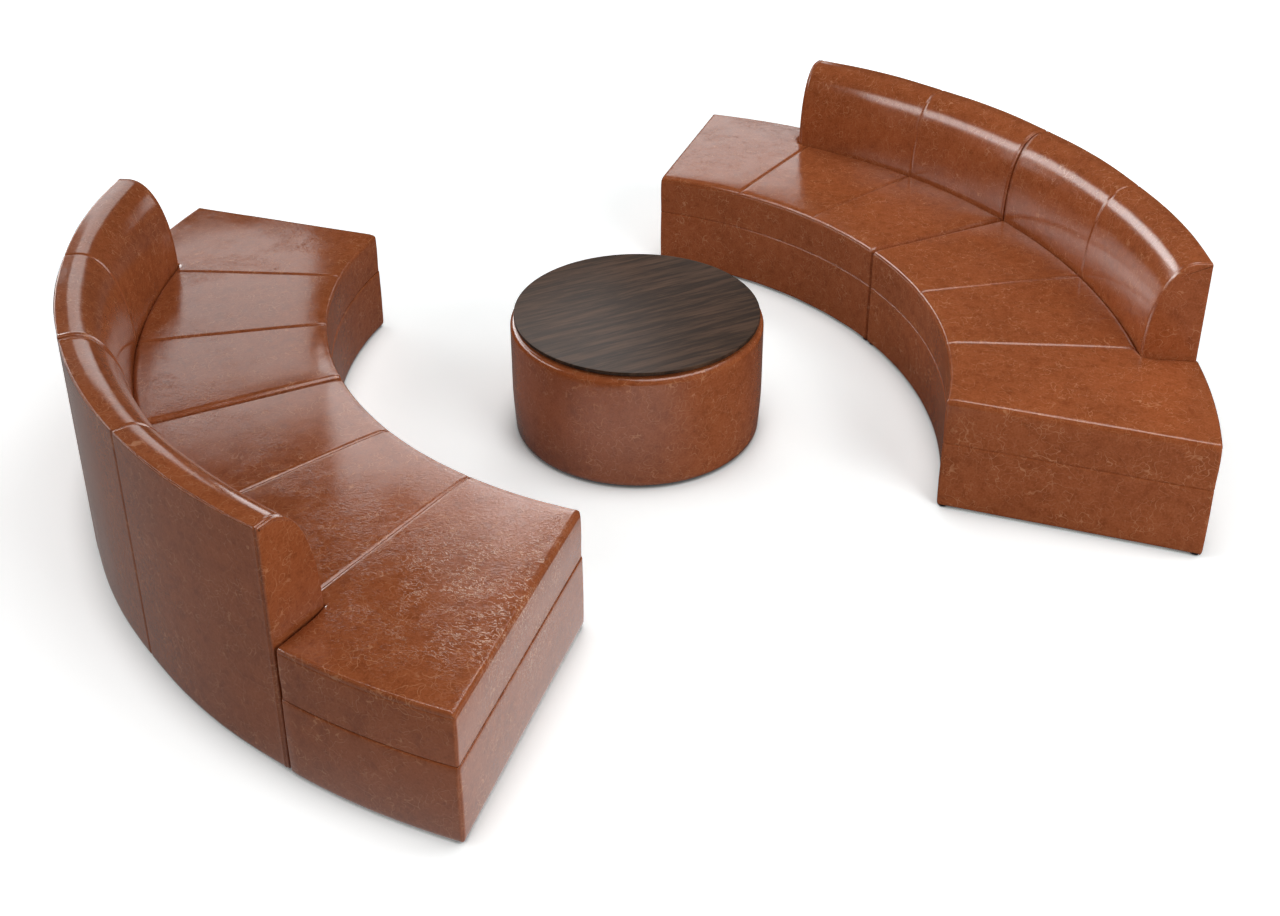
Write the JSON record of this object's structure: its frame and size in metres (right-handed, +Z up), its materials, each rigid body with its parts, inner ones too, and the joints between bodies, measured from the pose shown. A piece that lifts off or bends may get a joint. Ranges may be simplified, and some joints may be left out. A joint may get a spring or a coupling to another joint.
{
  "type": "round sofa set",
  "caption": "Round lounge set: curved leather sofas face each other round a drum ottoman with a wooden top; each sofa is mirrored modules with a rolled back that stops short of the free ends.",
  "frame": {"origin": "on the floor, midway between the two facing sofas, at the bottom centre of the whole set's box", "axes": "+X through the joint in the middle of each sofa, from sofa a to sofa b; +Y along the open aisle between the sofas, away from the ottoman's near side; +Z up"},
  "size_m": [4.0614, 3.4224, 0.832],
  "materials": {
    "leather": "satin",
    "foam": "matte",
    "plywood": "matte",
    "black_plastic": "matte",
    "steel": "satin",
    "dark_wood": "satin"
  },
  "bodies": {
    "root": {"a_right_base_frame": "plywood", "a_right_seat_deck": "plywood", "a_right_seat_foam": "foam", "a_right_seat_cover": "leather", "a_right_base_cover": "leather", "a_right_back_frame": "plywood", "a_right_back_foam": "foam", "a_right_back_cover": "leather", "a_right_foot_inner_joint": "black_plastic", "a_right_foot_inner_end": "black_plastic", "a_right_foot_outer_end": "black_plastic", "a_right_foot_outer_joint": "black_plastic", "a_left_base_frame": "plywood", "a_left_seat_deck": "plywood", "a_left_seat_foam": "foam", "a_left_seat_cover": "leather", "a_left_base_cover": "leather", "a_left_back_frame": "plywood", "a_left_back_foam": "foam", "a_left_back_cover": "leather", "a_left_foot_inner_joint": "black_plastic", "a_left_foot_inner_end": "black_plastic", "a_left_foot_outer_end": "black_plastic", "a_left_foot_outer_joint": "black_plastic", "a_joining_plate": "steel", "b_right_base_frame": "plywood", "b_right_seat_deck": "plywood", "b_right_seat_foam": "foam", "b_right_seat_cover": "leather", "b_right_base_cover": "leather", "b_right_back_frame": "plywood", "b_right_back_foam": "foam", "b_right_back_cover": "leather", "b_right_foot_inner_joint": "black_plastic", "b_right_foot_inner_end": "black_plastic", "b_right_foot_outer_end": "black_plastic", "b_right_foot_outer_joint": "black_plastic", "b_left_base_frame": "plywood", "b_left_seat_deck": "plywood", "b_left_seat_foam": "foam", "b_left_seat_cover": "leather", "b_left_base_cover": "leather", "b_left_back_frame": "plywood", "b_left_back_foam": "foam", "b_left_back_cover": "leather", "b_left_foot_inner_joint": "black_plastic", "b_left_foot_inner_end": "black_plastic", "b_left_foot_outer_end": "black_plastic", "b_left_foot_outer_joint": "black_plastic", "b_joining_plate": "steel", "ottoman_frame": "plywood", "ottoman_padding": "foam", "ottoman_cover": "leather", "ottoman_spacer": "black_plastic", "ottoman_top": "dark_wood", "ottoman_foot_1": "black_plastic", "ottoman_foot_2": "black_plastic", "ottoman_foot_3": "black_plastic", "ottoman_foot_4": "black_plastic"}
  },
  "joints": []
}
